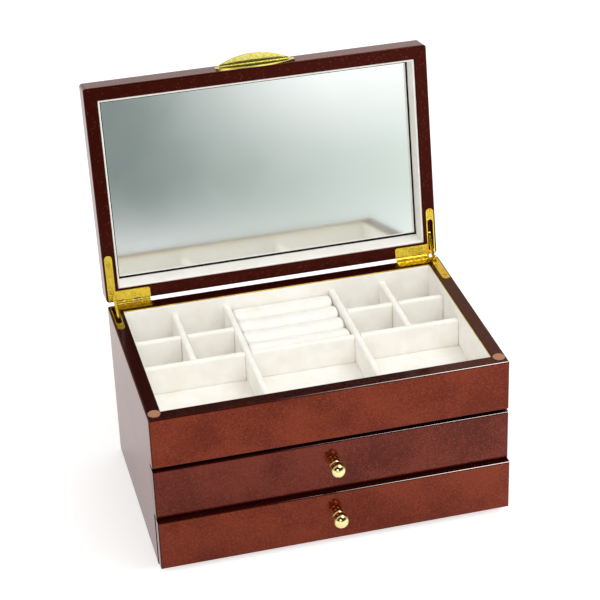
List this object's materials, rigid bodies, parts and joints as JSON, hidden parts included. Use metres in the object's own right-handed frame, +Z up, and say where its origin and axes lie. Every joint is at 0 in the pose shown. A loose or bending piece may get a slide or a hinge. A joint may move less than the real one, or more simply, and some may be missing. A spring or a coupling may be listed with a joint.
{
  "type": "ring box with drawers",
  "caption": "Wooden ring box with a hinged mirror lid, a divided tray with ring rolls, and drawers below.",
  "frame": {"origin": "middle of the closed box's width and depth, on the resting plane under the felt base", "axes": "+X to the right and +Y to the back as seen from the drawer fronts, +Z up"},
  "size_m": [0.286, 0.2572, 0.3294],
  "materials": {
    "wood": "red-brown wood board under a clear gloss lacquer",
    "inner_wood": "plain unfinished board",
    "suede": "cream suede cloth over card",
    "roll_suede": "cream suede cloth over foam",
    "felt": "dark felt",
    "brass": "polished and lacquered brass",
    "stud_steel": "zinc-plated steel",
    "mirror": "silvered float glass",
    "card": "black fibre board",
    "gilt": "gilt edging strip",
    "bumper": "tan bumper disc"
  },
  "bodies": {
    "case": {"side_panel_left": "wood", "side_panel_right": "wood", "back_panel": "wood", "front_panel": "wood", "base_panel": "inner_wood", "drawer_shelf": "inner_wood", "tray_floor_panel": "inner_wood", "base_felt": "felt", "lid_bumpers": "bumper", "tray_floor_lining": "suede", "tray_wall_lining": "suede", "tray_edge_trim": "gilt", "long_divider_left": "suede", "long_divider_right": "suede", "front_cross_divider_left": "suede", "front_cross_divider_centre": "suede", "front_cross_divider_right": "suede", "cell_dividers_deep": "suede", "cell_dividers_wide": "suede", "ring_roll_1": "roll_suede", "ring_roll_2": "roll_suede", "ring_roll_3": "roll_suede", "ring_roll_4": "roll_suede", "hinge_leaf_case_left": "brass", "hinge_leaf_case_right": "brass", "hinge_pins": "brass", "hinge_screws_case": "brass"},
    "lid": {"lid_panel": "wood", "lid_rail_front": "wood", "lid_rail_back": "wood", "lid_rail_left": "wood", "lid_rail_right": "wood", "mirror_glass": "mirror", "mirror_backing": "card", "mirror_lining_front": "suede", "mirror_lining_back": "suede", "mirror_lining_left": "suede", "mirror_lining_right": "suede", "lid_pull": "brass", "lid_pull_pins": "brass", "hinge_leaf_lid_left": "brass", "hinge_leaf_lid_right": "brass", "hinge_screws_lid": "brass"},
    "stay_arm_left": {"stay_arm_left": "brass"},
    "stay_arm_right": {"stay_arm_right": "brass"},
    "drawer_upper": {"drawer_upper_front": "wood", "drawer_upper_sides": "inner_wood", "drawer_upper_back": "inner_wood", "drawer_upper_bottom": "inner_wood", "drawer_upper_lining": "suede", "drawer_upper_knob": "brass", "drawer_upper_knob_screw": "stud_steel"},
    "drawer_lower": {"drawer_lower_front": "wood", "drawer_lower_sides": "inner_wood", "drawer_lower_back": "inner_wood", "drawer_lower_bottom": "inner_wood", "drawer_lower_lining": "suede", "drawer_lower_knob": "brass", "drawer_lower_knob_screw": "stud_steel"}
  },
  "joints": [
    {"name": "lid_hinge", "type": "hinge", "parent": "case", "child": "lid", "pos_m": [0, 0.0922, 0.14155], "axis": [1, 0, 0], "range_deg": [0, 99.4]},
    {"name": "stay_pivot_left", "type": "hinge", "parent": "lid", "child": "stay_arm_left", "pos_m": [-0.1381, 0.09175, 0.14923], "axis": [1, 0, 0], "range_deg": [-125.76, 0]},
    {"name": "stay_pivot_right", "type": "hinge", "parent": "case", "child": "stay_arm_right", "pos_m": [0.1381, 0.0847, 0.14325], "axis": [1, 0, 0], "range_deg": [0, 125.76]},
    {"name": "drawer_upper_slide", "type": "slide", "parent": "case", "child": "drawer_upper", "axis": [0, -1, 0], "range_m": [0, 0.12]},
    {"name": "drawer_lower_slide", "type": "slide", "parent": "case", "child": "drawer_lower", "axis": [0, -1, 0], "range_m": [-0.005, 0.115]}
  ],
  "couplings": [
    {"joint": "stay_pivot_left", "follows": "lid_hinge", "ratio": -1.2601},
    {"joint": "stay_pivot_right", "follows": "lid_hinge", "ratio": 1.2601}
  ]
}
